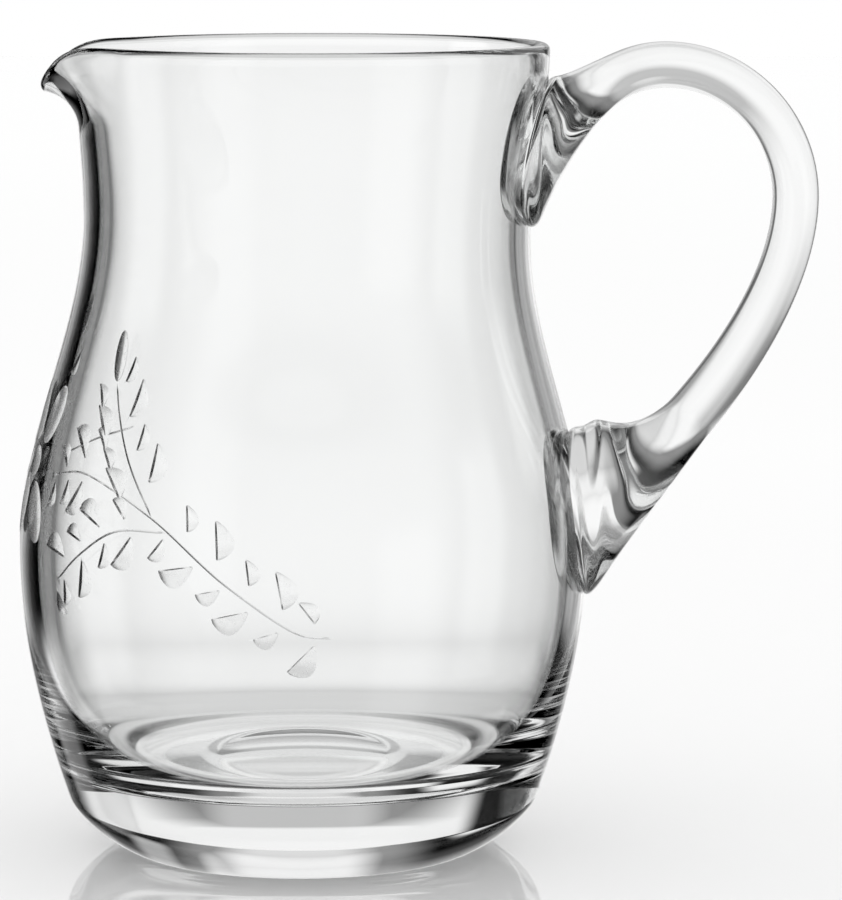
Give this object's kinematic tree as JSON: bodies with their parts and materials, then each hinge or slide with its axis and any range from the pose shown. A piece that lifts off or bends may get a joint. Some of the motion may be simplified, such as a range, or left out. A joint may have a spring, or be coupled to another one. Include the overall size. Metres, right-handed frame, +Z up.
{
  "type": "glass pitcher",
  "caption": "Clear glass pitcher with a round belly, heavy base, pulled pouring lip, pressed-on strap handle and a wheel-cut leaf spray on the belly.",
  "frame": {"origin": "on the body's axis, in the plane of the ring that the pitcher stands on", "axes": "+Z up, +X towards the handle, -X towards the pouring lip"},
  "size_m": [0.1885, 0.1342, 0.1903],
  "materials": {
    "clear_glass": "fire polished"
  },
  "bodies": {
    "root": {"body": "clear_glass", "handle": "clear_glass"}
  },
  "joints": []
}
